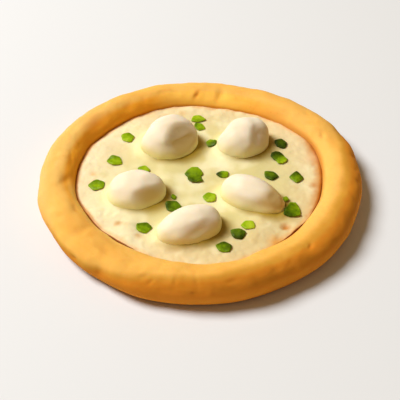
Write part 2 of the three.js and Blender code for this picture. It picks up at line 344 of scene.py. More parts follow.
# Crisper marks, placed alike: half length and half width in mm, lean of the long side away from
# the rim's own direction in degrees, depth in mm and how far the mark is painted brown: toasting,
# and painted shade in the dent.
marks = [
    {"at": (91.5, 133), "half": (4.4, 1.9), "lean": 56, "depth": 1.1, "brown": 0.7},
    {"at": (80.5, 130), "half": (7, 3), "lean": 80, "depth": 0.8, "brown": 0.08},
    {"at": (107.5, 111), "half": (4, 3), "lean": 0, "depth": 0.5, "brown": 0.04},
    {"at": (126.5, 130), "half": (5, 3.5), "lean": 20, "depth": 0.5, "brown": 0.08},
    {"at": (146, 116), "half": (12, 7), "lean": 10, "depth": 0.4, "brown": 0.6},
    {"at": (171, 130), "half": (9, 2.4), "lean": 16, "depth": 0.5, "brown": 0.12},
    {"at": (186, 129), "half": (9, 3.4), "lean": -35, "depth": 0.7, "brown": 0.25},
    {"at": (206.5, 123), "half": (6, 2.4), "lean": -6, "depth": 0.7, "brown": 0.04},
    {"at": (208.5, 78), "half": (4, 2.4), "lean": 80, "depth": 0.5, "brown": 0.04},
    {"at": (219, 96), "half": (11, 4.2), "lean": 88, "depth": 0.5, "brown": 0.12},
    {"at": (232.5, 97), "half": (8, 2.6), "lean": -10, "depth": 0.6, "brown": 0.12},
    {"at": (224.5, 5), "half": (3, 2), "lean": 0, "depth": 0.9, "brown": 0.3},
    {"at": (235.5, 3), "half": (6, 3.2), "lean": 60, "depth": 0.7, "brown": 0.4},
    {"at": (254, 45), "half": (3, 1.2), "lean": 60, "depth": 0.6, "brown": 0.1},
    {"at": (251.5, 60), "half": (3.4, 1.8), "lean": 30, "depth": 0.5, "brown": 0.04},
    {"at": (262, 58), "half": (5, 1.5), "lean": 88, "depth": 0.45, "brown": 0.04},
    {"at": (269, 62), "half": (5, 1.5), "lean": 95, "depth": 0.4, "brown": 0.04},
    {"at": (268, 24), "half": (1.4, 0.9), "lean": 0, "depth": 0.3, "brown": 0.35},
    {"at": (280, 55), "half": (3, 2), "lean": 20, "depth": 0.5, "brown": 0.04},
    {"at": (295.5, 55), "half": (3, 2), "lean": 60, "depth": 0.25, "brown": 0.06},
    {"at": (302.5, 66), "half": (5, 2.4), "lean": 50, "depth": 0.25, "brown": 0.04},
    {"at": (313, 79), "half": (3.4, 1.6), "lean": 50, "depth": 0.9, "brown": 0.32},
    {"at": (38, 82), "half": (3, 2), "lean": 0, "depth": 0.6, "brown": 0.08},
    {"at": (31, 105), "half": (5, 2.6), "lean": 30, "depth": 0.9, "brown": 0.06},
    {"at": (23, 110), "half": (5, 2.8), "lean": -40, "depth": 1.1, "brown": 0.12},
    {"at": (8, 40), "half": (2.6, 1.6), "lean": 90, "depth": 0.7, "brown": 0.28},
    {"at": (0, 45), "half": (2, 1.4), "lean": 60, "depth": 0.5, "brown": 0.12},
    {"at": (354, 42), "half": (3, 1.6), "lean": 90, "depth": 0.7, "brown": 0.28},
    {"at": (344, 50), "half": (2.4, 1.6), "lean": 70, "depth": 0.5, "brown": 0.12},
]

# Slow waves over the crust: whole turns around the rim and across its section, height in mm.
crustWaves = [
    {"around": 5, "across": 1, "phase": 0.4, "height": 0.35},
    {"around": 9, "across": -1, "phase": 2.1, "height": 0.3},
    {"around": 14, "across": 2, "phase": 4.0, "height": 0.22},
    {"around": 22, "across": 2, "phase": 1.2, "height": 0.12},
]


def turnBetween(azimuth, other):
    return azimuth.net.math("WRAP", azimuth - other, 180, -180)


# What the swells add up to at an azimuth in degrees.
def swellSums(azimuth):
    sums = {"outer": 0.0, "inner": 0.0, "lift": 0.0}
    for swell in swells:
        share = bell(turnBetween(azimuth, swell["at"]), swell["spread"])
        for measure in sums:
            if measure in swell:
                sums[measure] = share * (swell[measure] * mm) + sums[measure]
    return sums


# Distances along the rim and across its section from a place given by azimuth and section.
def overCrust(at, azimuth, section):
    along = turnBetween(azimuth, at[0]) * (degree * crust["crestRadius"])
    across = (section - at[1]) * (degree * crust["rimOutward"])
    return along, across


def crustRelief(azimuth, section):
    relief = 0.0
    for wave in crustWaves:
        turns = azimuth * (wave["around"] * degree) + section * (wave["across"] * degree)
        relief = (turns + wave["phase"]).sin() * (wave["height"] * mm) + relief
    for dent in dents:
        share = bell(hypot(*overCrust(dent["at"], azimuth, section)), dent["radius"] * mm)
        relief = relief - share * (dent["depth"] * mm)
    return relief


# How deep the crisp marks make a place, and how far they paint it brown, partly as painted shade.
def crustMarks(azimuth, section):
    deep, brown = 0.0, 0.0
    for mark in marks:
        along, across = overCrust(mark["at"], azimuth, section)
        c, s = heading(mark["lean"])
        lengthways = (along * c + across * s) / (mark["half"][0] * mm)
        sideways = (across * c - along * s) / (mark["half"][1] * mm)
        share = bell(hypot(lengthways, sideways), 1)
        deep = share * (mark["depth"] * mm) + deep
        brown = share * mark["brown"] + brown
    return deep, brown


def crustTree(material):
    net = openTree("rolledCrust", crust)
    size = net.sizes
    rows = size["floorRows"] + size["wallRows"] + size["footRows"]
    grid, azimuth, row = wrapGrid(net, rows)
    outer, inner, lift = swellSums(azimuth).values()

    # over the base from the middle, up the inner wall, over the crest to the foot, and in below
    footTurn = net.math("ARCSINE", size["beltHeight"] / size["footDepth"]) * (1 / degree)
    across = (row - size["floorRows"]).ramp(0, size["wallRows"])
    section = 180 - across * (footTurn + 180)
    c = (section * degree).cos()
    s = (section * degree).sin()
    isOuter = net.math("GREATER_THAN", c, 0)
    isUpper = net.math("GREATER_THAN", s, 0)
    reach = pick(isOuter, size["rimOutward"] + outer, size["rimInward"] - inner)
    rise = pick(isUpper, size["rimHeight"] + lift - size["beltHeight"], size["footDepth"])
    towardFoot = s.atMost(0) * (size["footDepth"] / size["beltHeight"]) + 1
    share = pick(isOuter, towardFoot, (s * 1.5).atMost(1))  # less relief towards foot and base

    turn = azimuth * degree
    plainRadius = reach * c + size["crestRadius"]
    plain = combine(net, plainRadius * turn.cos(), plainRadius * turn.sin(), rise * s)
    lumps = grain(plain, crust["lumpSize"], 1, seed=1) * size["doughLumps"]
    ripples = grain(plain, crust["rippleSize"], 1, seed=2) * size["doughRipples"]
    deep, brown = crustMarks(azimuth, section)
    relief = crustRelief(azimuth, section) + lumps + ripples - deep - size["inset"]
    relief = relief * share

    radius = (reach + relief) * c + size["crestRadius"]
    height = ((rise + relief) * s + size["beltHeight"]).atLeast(0)
    radius = radius * row.ramp(0, size["floorRows"]) * (rows - row).ramp(0, size["footRows"])
    height = pick((row - size["floorRows"]).ramp(0, 1), height, size["floorHeight"])
    place = combine(net, radius * turn.cos(), radius * turn.sin(), height)
    noted = keepFact(keepFact(grid, "section", section), "brown", brown)
    shaped = net.add("GeometryNodeSetPosition", {}, {0: noted, "Position": place})
    closeTree(net, shaped, material)
    return net


# Tints of the baked dough, laid on by section and by the way a side faces: toasting, and also
# painted light on the sides towards the light and painted shade on those away from it.
def crustFinish(net, place):
    x, y, z = separate(place)
    side = sidesOf(x, y)
    section, brown = readFact(net, "section"), readFact(net, "brown")
    base = net.mix(
        grain(place, 34 * mm, seed=3).fade(-0.2, 0.2),
        paint(234, 174, 80), paint(242, 186, 92),
    )
    # painted light: paler crest and upper inner wall at the back right, where they face the light
    litBackWall = section.fade(84, 120) * side(25, 0.05, 0.8)
    base = cover(base, litBackWall, 243, 185, 95)
    # painted light: paler crest on the left, towards the light
    paintedLitCrest = bell(section - 94, 22) * side(162, 0.7, 0.97)
    base = cover(base, paintedLitCrest * 0.7, 246, 202, 116)
    patches = grain(place, 15 * mm, 3, seed=4).fade(0.0, 0.25) * 0.3
    base = cover(base, patches, 226, 152, 54)
    wobble = grain(place, 12 * mm, seed=22) * 22  # degrees of section
    # browned, and painted shade on the outer side away from the light: darker down the shoulder and flank,
    # most on the near and right sides
    frontRight = side(315, 0.05, 0.65)
    higher = side(322, 0.6, 0.97)
    lowered = section + wobble + (1 - frontRight) * 64
    shadedShoulder = (lowered - higher * 24).fade(96, 68) * 0.95
    base = cover(base, shadedShoulder, 206, 146, 50)
    shadedFlank = (lowered - higher * 17).fade(76, 52) * 0.95
    base = cover(base, shadedFlank, 212, 133, 37)
    # lighter again towards the foot on the near and right sides, easing the painted shade there
    low = section.fade(44, 12) * frontRight * 0.8
    base = cover(base, low, 234, 146, 44)
    easedShadeRight = section.fade(36, 16) * side(0, 0.8, 0.97)
    base = cover(base, easedShadeRight * 0.6, 244, 158, 54)
    # painted light: paler outer side on the left, facing the light
    paintedLitLeft = section.fade(90, 50) * side(165, 0.6, 0.97)
    base = cover(base, paintedLitLeft, 243, 180, 102)
    shadedWall = section.fade(110, 134) * side(130, -0.1, 0.7)
    base = cover(base, shadedWall, 244, 164, 46)
    # painted light on the inner wall at the back, which faces away from the light
    paintedLitFarWall = section.fade(108, 126) * side(88, 0.88, 0.98)
    base = cover(base, paintedLitFarWall * 0.9, 255, 196, 88)
    # painted light on the inner wall at the near left, which faces away from the light
    paintedLitNearWall = section.fade(124, 150) * side(212, 0.85, 0.97)
    base = cover(base, paintedLitNearWall * 0.8, 255, 204, 108)
    # browned foot, and painted shade where it meets the floor
    foot = z.fade(5 * mm, 0.5 * mm) * 0.5
    base = cover(base, foot, 160, 84, 20)
    # browned, and painted shade in the crease where the inner wall meets the cheese
    wavering = section + wobble * 0.3
    contactShade = wavering.fade(165, 177) * side(110, 0.2, 0.9)
    base = cover(base, contactShade * 0.5, 196, 104, 26)
    contactShadeRight = wavering.fade(146, 172) * side(350, 0.3, 0.9)
    base = cover(base, contactShadeRight * 0.7, 196, 118, 36)
    freckles = grain(place, 3.2 * mm, seed=5).fade(0.12, 0.3) * 0.2
    base = cover(base, freckles, 205, 130, 40)
    # marks browned by toasting, and darkened as painted shade in their dents
    base = cover(base, brown, 198, 110, 26)
    rough = grain(place, 9 * mm, 3, seed=6) * 0.16 + 0.7
    pores = grain(place, 1.6 * mm, 4, 0.6, seed=7)
    return base, rough, bumps(pores, 0.4, 0.25 * mm)


def makeCrust():
    fixed = {
        "Subsurface Weight": 0.25,
        "Subsurface Radius": (1.0, 0.35, 0.08),
        "Subsurface Scale": 5 * mm,
        "Specular IOR Level": 0.03,
    }
    material = finish("bakedCrust", fixed, crustFinish)
    piece = grow("goldenCrust", crustTree(material), crust)
    dress(piece, "crust", "bread")


# Mozzarella balls: place and half sizes along, across and up in mm, turn in plan in degrees and
# how much slimmer they get along it. Directions on a ball are azimuth and elevation in degrees.
# A flat is a pressed side: the way it faces, how far out it lies as a share of the ball and how
# round its edge is. A step runs along an arc between two directions: the side to its right drops
# back over the step's width and comes up again by its reach, both in degrees. A dimple follows
# such an arc too, and with a negative depth it swells out. A stain from 0 to 1 says how far such
# a place is painted darker and yellower: painted shade on the sides turned from the light and in
# the creases under folds, also read as cheese colour taken up. Soak says how far the foot of a
# ball is painted yellower: cheese colour taken up, and a painted reflection of the yellow cheese.
ball = {
    "base": 9.3 * mm,  # the flat spot underneath
    "rise": 0.45,  # centre above the cheese, as a share of the half height
    "columns": 120,
    "rings": 80,
    "softness": 0.5 * mm,  # height of its soft waves
    "softWaves": 2.2,  # how close they lie
    "stepFade": 22,  # how far past its ends a step runs out, in degrees
    "sag": 0.85,  # 0 round below the middle, 1 with upright sides
    "sagDown": 0.9,  # share of its lower half from which it closes in all the same
    "fullStainShade": 0.1,  # how far a flat is pressed in where its stain, painted shade, is full
}
balls = [
    {
        "name": "mozzarella_back_left", "at": (-23.5, 38.5), "half": (22.3, 20.4, 16.95),
        "turn": 0, "taper": 0.04, "soak": 1.3,
        "flats": [
            {"faces": (-46, 32), "reach": 0.76, "edge": 0.12, "stain": 0.35},
            {"faces": (163, 18), "reach": 0.82, "edge": 0.2},
            {"faces": (131, 40), "reach": 0.91, "edge": 0.2},
        ],
        "steps": [
            {"path": [(-70, 77), (17, 40)], "width": 5, "reach": 50, "depth": 0.04, "stain": 0.2},
            {"path": [(-84, 31), (-18, 27)], "width": 7, "reach": 45, "depth": 0.055, "stain": 0.3},
        ],
        "dimples": [
            {"path": [(-72, 25), (-24, 23)], "width": 6, "stain": 0.7},
            {"path": [(-66, 0), (-10, 4)], "width": 20, "stain": 0.5},
            {"path": [(-165, -14), (-90, -14)], "width": 26, "depth": -0.07},
        ],
    },
    {
        "name": "mozzarella_back_right", "at": (34.5, 38.5), "half": (20.3, 17.2, 15.4),
        "turn": 25, "taper": -0.03, "soak": 0.8,
        "flats": [
            {"faces": (-26, 29), "reach": 0.83, "edge": 0.16},
            {"faces": (155, 20), "reach": 0.92, "edge": 0.2},
        ],
        "steps": [{"path": [(-74, 8), (10, 72)], "width": 6, "reach": 32, "depth": 0.04}],
        "dimples": [
            {"path": [(-40, 40), (-48, 20)], "width": 8, "depth": 0.02, "stain": 0.35},
            {"path": [(-149, 24), (-130, 66)], "width": 5, "depth": 0.01},
            {"path": [(-170, -14), (-90, -14)], "width": 26, "depth": -0.08},
            {"path": [(14, 32), (46, 32)], "width": 20, "depth": -0.05},
        ],
    },
    {
        "name": "mozzarella_left", "at": (-45, -20.6), "half": (20.6, 16.4, 12.8),
        "turn": 2, "taper": 0.06, "soak": 1.2,
        "flats": [{"faces": (-56, 18), "reach": 0.93, "edge": 0.3, "stain": 0.5}],
        "steps": [{"path": [(-86, 44), (-8, 34)], "width": 9, "reach": 50, "depth": 0.05, "stain": 0.5}],
        "dimples": [{"path": [(-165, -14), (-90, -14)], "width": 26, "depth": -0.1}],
    },
    {
        "name": "mozzarella_right", "at": (39, -26.5), "half": (24.6, 13.3, 12.6),
        "turn": -27, "taper": 0.2, "soak": 1.2,
        "flats": [{"faces": (-30, 18), "reach": 0.93, "edge": 0.3, "stain": 0.6}],
        "steps": [{"path": [(-92, 30), (30, 52)], "width": 12, "reach": 60, "depth": 0.06, "stain": 1}],
        "dimples": [{"path": [(-170, -14), (-90, -14)], "width": 26, "depth": -0.08}],
    },
    {
        "name": "mozzarella_front", "at": (-6.5, -57.5), "half": (23.1, 14.6, 12.4),
        "turn": 22, "taper": -0.1, "soak": 1.1,
        "flats": [{"faces": (-60, 22), "reach": 0.94, "edge": 0.3}],
        "steps": [{"path": [(-78, 50), (24, 38)], "width": 9, "reach": 50, "depth": 0.04}],
        "dimples": [{"path": [(-175, -14), (-90, -14)], "width": 26, "depth": -0.08}],
    },
]

# Cheese
cheese = {
    "middle": 13.2 * mm,
    "edge": 12 * mm,
    "roll": 0.9 * mm,  # radius of its rolled edge
    "gap": 0.02 * mm,  # between its edge and the crust
    "rest": 0.35 * mm,  # between its underside and the base
    "waveLength": 46 * mm,
    "waveHeight": 0.35 * mm,
    "collarHeight": 1.3 * mm,  # cheese drawn up round each ball
    "collarSpread": 6 * mm,
    "skirtHeight": 2.2 * mm,  # a steeper rise close to it, highest on its left
    "skirtSpread": 3.2 * mm,
    "ballShadowSpread": 3.2 * mm,  # painted shadow of it in brown, along its right and near side
    "lumps": 2.6 * mm,
    "lumpSize": 13 * mm,
    "wrinkles": 1.2 * mm,
    "wrinkleSize": 4.5 * mm,
    "columns": 540,
    "topRows": 120,
    "rollRows": 6,
    "underRows": 5,
}

# Where the cheese has drawn back from the rim: azimuth and spread in degrees, width in mm.
drawnBack = [
    {"at": 224, "spread": 20, "width": 0.3},
    {"at": 318, "spread": 16, "width": 0.35},
    {"at": 348, "spread": 12, "width": 0.3},
]

# Mounds and dimples in the melted cheese, in mm.
mounds = [
    {"at": (-52, -62), "radius": 17, "height": 3.0},
    {"at": (-76, -42), "radius": 13, "height": 2.4},
    {"at": (44, -56), "radius": 12, "height": 2.4},
    {"at": (66, -56), "radius": 9, "height": 2.4},
    {"at": (60, -53.5), "radius": 4, "height": -2.2},
    {"at": (88, -10), "radius": 9, "height": 1.2},
    {"at": (12, -84), "radius": 16, "height": 1.4},
    {"at": (-50, -52), "radius": 4, "height": 0.9},
    {"at": (-72, 40), "radius": 14, "height": 0.8},
    {"at": (72, 40), "radius": 15, "height": 0.8},
]


# Distance outside a ball's widest outline in plan; negative inside it.
def outsideBall(spec, x, y):
    dx, dy = stepsFrom(spec["at"], x, y)
    c, s = heading(spec["turn"])
    halfAlong, halfAcross = spec["half"][0] * mm, spec["half"][1] * mm
    along = (dx * c + dy * s) / halfAlong
    across = (dy * c - dx * s) / halfAcross
    return (hypot(along, across) - 1) * math.sqrt(halfAlong * halfAcross)


def cheeseHeight(net, size, x, y):
    outward = hypot(x, y) / crust["crestRadius"]
    height = (size["edge"] - size["middle"]) * (outward * outward) + size["middle"]
    k = 2 * math.pi / cheese["waveLength"]
    waves = ((x + y * 0.4) * k).sin() * ((y * 1.2 - x * 0.5) * k + 1).sin()
    height = height + waves * size["waveHeight"]
    for mound in mounds:
        away = hypot(*stepsFrom(mound["at"], x, y))
        height = height + bell(away, mound["radius"] * mm) * (mound["height"] * mm)
    for spec in balls:
        away = outsideBall(spec, x, y).atLeast(0)
        height = height + bell(away, size["collarSpread"]) * size["collarHeight"]
        left = ((spec["at"][0] * mm - x) / (spec["half"][0] * mm)).fade(-0.9, 0.7) * 0.6 + 0.4
        height = height + bell(away, size["skirtSpread"]) * left * size["skirtHeight"]
    flat = combine(net, x, y, 0)
    rimBand = outward.fade(0.45, 0.8) * 0.75 + 0.25  # smoother towards the middle
    lumps = grain(flat, cheese["lumpSize"], seed=8) * size["lumps"]
    wrinkles = grain(flat, cheese["wrinkleSize"], seed=23) * size["wrinkles"]
    return height + (lumps + wrinkles) * rimBand


def cheeseTree(material):
    net = openTree("meltedCheese", cheese)
    size = net.sizes
    rows = size["topRows"] + size["rollRows"] + size["underRows"]
    grid, azimuth, row = wrapGrid(net, rows)
    turn = azimuth * degree
    inner = swellSums(azimuth)["inner"]
    outline = inner + (crust["crestRadius"] - crust["rimInward"] - cheese["gap"])
    for place in drawnBack:
        share = bell(turnBetween(azimuth, place["at"]), place["spread"])
        outline = outline - share * (place["width"] * mm)

    # the top from the middle outwards, then the rolled edge, then in again along the underside
    rolled = row - size["topRows"]
    rollTurn = rolled.ramp(0, size["rollRows"]) * (math.pi / 2)
    topRadius = (outline - size["roll"]) * row.ramp(0, size["topRows"])
    radius = topRadius + size["roll"] * rollTurn.sin()
    radius = radius * (rows - row).ramp(0, size["underRows"] - 1)
    drop = (1 - rollTurn.cos()) * size["roll"]
    x, y = radius * turn.cos(), radius * turn.sin()
    height = cheeseHeight(net, size, x, y) - drop
    under = crust["floorHeight"] + cheese["rest"]
    height = pick((rolled - size["rollRows"]).ramp(0, 1), height * 0 + under, height)
    noted = keepFact(grid, "fromEdge", outline - radius)
    sockets = {0: noted, "Position": combine(net, x, y, height)}
    closeTree(net, net.add("GeometryNodeSetPosition", {}, sockets), material)
    return net


# Toasted and tinted spots on the cheese: place and radius in mm, how strong, and the colour.
cheeseSpots = [
    {"at": (-56, 60), "radius": 13, "share": 0.6, "color": (250, 234, 184)},
    {"at": (-30, -2), "radius": 9, "share": 0.4, "color": (250, 240, 190)},
    {"at": (19, 13), "radius": 11, "share": 0.6, "color": (252, 244, 206)},
    {"at": (10, -11), "radius": 9, "share": 0.5, "color": (214, 198, 128)},
    {"at": (44, -64), "radius": 14, "share": 0.6, "color": (210, 186, 126)},
    {"at": (84.5, -9.5), "radius": 4.5, "share": 0.8, "color": (196, 132, 66)},
    {"at": (87.6, 23.9), "radius": 9, "share": 0.35, "color": (240, 190, 140)},
    {"at": (60.3, -53.8), "radius": 4.5, "share": 1.0, "color": (196, 130, 58)},
    {"at": (53, -68.6), "radius": 7, "share": 0.8, "color": (222, 156, 66)},
    {"at": (-57.2, -51.3), "radius": 3.6, "share": 0.75, "color": (200, 140, 70)},
    {"at": (-51.6, -52.6), "radius": 3.6, "share": 0.35, "color": (226, 170, 100)},
    {"at": (-42.5, -63.5), "radius": 3.4, "share": 0.6, "color": (205, 150, 80)},
    {"at": (-80.2, 4), "radius": 3, "share": 0.6, "color": (240, 180, 110)},
    {"at": (-72.6, 4), "radius": 5, "share": 0.4, "color": (205, 190, 120)},
    {"at": (-14.1, 81.8), "radius": 4, "share": 0.4, "color": (225, 170, 100)},
    {"at": (-39.6, 78.7), "radius": 6, "share": 0.4, "color": (235, 190, 120)},
]


# Tints of the cheese: cloudy in the middle, browned along the rim and in spots, with painted
# light and shade on its sides and round the balls.
def cheeseFinish(net, place):
    x, y, _ = separate(place)
    side = sidesOf(x, y)
    band = (grain(place, 20 * mm, seed=9) * (12 * mm) + hypot(x, y)).fade(48 * mm, 92 * mm)
    base = net.mix(band, paint(217, 204, 143), paint(228, 209, 162))
    # painted light: lighter on the left, towards the light; painted shade: darker on the near right
    paintedLightLeft = side(185, 0.0, 0.8) * band
    base = cover(base, paintedLightLeft * 0.6, 243, 226, 186)
    paintedShadeNearRight = side(300, 0.3, 0.95) * band
    base = cover(base, paintedShadeNearRight * 0.6, 218, 196, 140)
    clouds = grain(place, 24 * mm, seed=10).fade(0.0, 0.18) * 0.7
    base = cover(base, clouds, 240, 232, 190)
    blush = grain(place, 11 * mm, seed=11).fade(0.05, 0.28) * band * 0.5
    base = cover(base, blush, 236, 194, 130)
    litHalo, ballShadow = 0.0, 0.0  # painted light on each ball's left, painted shadow in brown along its right and near side
    for spec in balls:
        away = outsideBall(spec, x, y).atLeast(0)
        lee = facing(*stepsFrom(spec["at"], x, y), 310)
        wider = facing(*stepsFrom(spec["at"], x, y), 335).fade(0.5, 0.95) + 1
        litHalo = bell(away, cheese["collarSpread"]) * lee.fade(0.4, -0.4) + litHalo
        ballShadow = bell(away / wider, cheese["ballShadowSpread"]) * lee.fade(-0.4, 0.6) + ballShadow
    # painted light: a pale halo on the cheese round each ball's lit left side
    base = cover(base, litHalo.atMost(1) * 0.75, 243, 231, 168)
    # painted shadow: the balls' shadows, in brown, on the cheese along their right and near side
    base = cover(base, ballShadow.atMost(1) * 0.95, 170, 138, 24)
    fromEdge = readFact(net, "fromEdge")
    uneven = grain(place, 9 * mm, seed=24) * (6 * mm)
    baked = (fromEdge + uneven).fade(4 * mm, 0.5 * mm) * 0.5
    base = cover(base, baked, 232, 168, 92)
    bakedRight = (fromEdge + uneven).fade(9 * mm, 1.5 * mm) * side(2, 0.82, 0.97)
    base = cover(base, bakedRight * 0.85, 200, 134, 58)
    # scorched edge, and painted shade in the gap along the rim, strongest on the near left and near right
    nearSides = side(224, 0.8, 0.95) + side(318, 0.8, 0.95)
    scorchedAndShaded = (fromEdge + uneven * 0.05).fade(0.8 * mm, 0.2 * mm) * (nearSides * 0.6 + 0.3)
    base = cover(base, scorchedAndShaded, 150, 80, 16)
    browned = (fromEdge + uneven * 0.15).fade(2.8 * mm, 0.9 * mm)
    brownedSides = side(165, 0.45, 0.9) + side(2, 0.85, 0.97)
    base = cover(base, browned * brownedSides * 0.9, 176, 100, 12)
    for spot in cheeseSpots:
        away = hypot(*stepsFrom(spot["at"], x, y))
        wobble = grain(place, 4 * mm, seed=spot["at"][0]) * (spot["radius"] * mm * 0.8)
        share = (away + wobble).fade(spot["radius"] * mm * 1.3, 0.0) * spot["share"]
        base = cover(base, share, *spot["color"])
    rough = grain(place, 7 * mm, 3, seed=12) * 0.2 + 0.5
    skin = grain(place, 2.4 * mm, 3, seed=13)
    return base, rough, bumps(skin, 0.35, 0.3 * mm)


def makeCheese():
    fixed = {
        "Subsurface Weight": 0.3,
        "Subsurface Radius": (1.0, 0.7, 0.35),
        "Subsurface Scale": 4 * mm,
        "Specular IOR Level": 0.2,
    }
    material = finish("meltedCheese", fixed, cheeseFinish)
    piece = grow("meltedCheese", cheeseTree(material), cheese)
    dress(piece, "cheese", "cheese")


def direction(azimuth, elevation):
    (c, s), (level, up) = heading(azimuth), heading(elevation)
    return Vector((level * c, level * s, up))


# For rows of directions: degrees to the left of the arc between two directions, and degrees past
# its ends.
def besideArc(toward, start, end):
    first, last = np.array(direction(*start)), np.array(direction(*end))
    pole = np.cross(first, last)
    pole /= np.linalg.norm(pole)
    left = np.degrees(np.arcsin(np.clip(toward @ pole, -1, 1)))
    onward = np.cross(pole, first)
    along = np.degrees(np.arctan2(toward @ onward, toward @ first))
    whole = np.degrees(np.arccos(np.clip(first @ last, -1, 1)))
    return left, np.maximum(0, np.maximum(-along, along - whole))


# How far each direction lies behind a step, from 0 to 1.
def behindStep(toward, step):
    left, past = besideArc(toward, *step["path"])
    behind = (1 - np.tanh(left / step["width"])) / 2
    return behind * np.exp(-((left / step["reach"]) ** 2) - (past / ball["stepFade"]) ** 2)


def inDimple(toward, dimple):
    left, past = besideArc(toward, *dimple["path"])
    return np.exp(-(left**2 + past**2) / dimple["width"] ** 2)


# How far out a flat's plane leaves a round form, its edge rounded off. Where a direction turns
# away from the flat, its plane is held far out and changes nothing.
def pressedIn(toward, reach, flat):
    outward = np.maximum(toward @ np.array(direction(*flat["faces"])), 0.1)
    plane = flat["reach"] / outward
    close = np.maximum(0, 1 - abs(reach - plane) / flat["edge"])
    return np.minimum(reach, plane) - close**2 * flat["edge"] / 4


# Moves rows of directions out to a ball's surface; also says how far each place is painted with stain and
# shade.
def ballSurface(spec, toward):
    scale, stained = np.ones(len(toward)), np.zeros(len(toward))
    for flat in spec["flats"]:
        before, scale = scale, pressedIn(toward, scale, flat)
        stained += np.clip((before - scale) / ball["fullStainShade"], 0, 1) * flat.get("stain", 0)
    for step in spec["steps"]:
        behind = behindStep(toward, step)
        scale = scale - behind * step["depth"]
        stained += behind * step.get("stain", 0)
    for dimple in spec["dimples"]:
        inside = inDimple(toward, dimple)
        scale = scale - inside * dimple.get("depth", 0)
        stained += inside * dimple.get("stain", 0)
    c, s = heading(spec["turn"])
    x, y, z = toward.T
    along, across = x * c + y * s, y * c - x * s
    slim = (1 - spec["taper"] * along) * scale
    upright = (1 - np.clip(-z, 0, ball["sagDown"]) ** 2) ** (-ball["sag"] / 2)
    halfAlong, halfAcross, halfUp = (half * mm for half in spec["half"])
    along = along * halfAlong * scale * upright
    across = across * halfAcross * slim * upright
    up = z * halfUp * slim
    shift = Vector((spec["at"][0], 0, 0))  # so that no two balls are alike
    soft = [noise.noise(Vector(row) * ball["softWaves"] + shift) for row in toward]
    places = np.stack([along * c - across * s, along * s + across * c, up], axis=1)
    places += toward * (np.array(soft)[:, None] * ball["softness"])
    centre = cheese["middle"] + ball["rise"] * spec["half"][2] * mm
    places += np.array((spec["at"][0] * mm, spec["at"][1] * mm, centre))
    places[:, 2] = np.maximum(ball["base"], places[:, 2])
    return places, np.minimum(stained, 1)


def ballMesh(spec):
    columns, rings = ball["columns"], ball["rings"]
    toward = [direction(0, 90), direction(0, -90)]
    for ring in range(1, rings):
        elevation = 90 - 180 * ring / rings
        toward += [direction(360 * i / columns, elevation) for i in range(columns)]
    places, stained = ballSurface(spec, np.array(toward))
    faces = []
    last = 2 + (rings - 2) * columns
    for i in range(columns):
        j = (i + 1) % columns
        faces += [(0, 2 + i, 2 + j), (1, last + j, last + i)]
        for ring in range(rings - 2):
            upper = 2 + ring * columns
            lower = upper + columns
            faces.append((upper + i, lower + i, lower + j, upper + j))
    mesh = bpy.data.meshes.new(spec["name"])
    mesh.from_pydata(places.tolist(), [], faces)
    mesh.shade_smooth()
    storeFacts(mesh, {"stained": stained, "soak": [spec["soak"]] * len(stained)})
    return mesh


def ballFinish(net, place):
    height = separate(place)[2]
    milk = net.mix(
        grain(place, 16 * mm, seed=14).fade(-0.25, 0.25),
        paint(240, 223, 193), paint(245, 232, 208),
    )
    # yellower towards the foot: cheese colour taken up, and a painted reflection of the yellow cheese
    soakedAndReflected = height.fade(28 * mm, 14 * mm) * readFact(net, "soak") * 0.6
    base = cover(milk, soakedAndReflected, 247, 236, 148)
    # painted shade on the sides turned from the light and in the creases under folds, also read as cheese
    # colour taken up
    stained = readFact(net, "stained").fade(0.1, 1.0) * 0.75
    base = cover(base, stained, 212, 178, 96)
    rough = grain(place, 9 * mm, seed=15) * 0.14 + 0.5
    skin = grain(place, 5 * mm, seed=16)
    return base, rough, bumps(skin, 0.2, 0.3 * mm)


def makeBalls():
    fixed = {
        "Subsurface Weight": 0.4,
        "Subsurface Radius": (1.0, 0.7, 0.35),
        "Subsurface Scale": 4 * mm,
        "Specular IOR Level": 0.15,
    }
    material = finish("freshMozzarella", fixed, ballFinish)
    for spec in balls:
        mesh = ballMesh(spec)
        mesh.materials.append(material)
        dress(addObject("soft_" + spec["name"], mesh), "mozzarella", spec["name"])
    print(f"mozzarella: {len(balls)} balls")


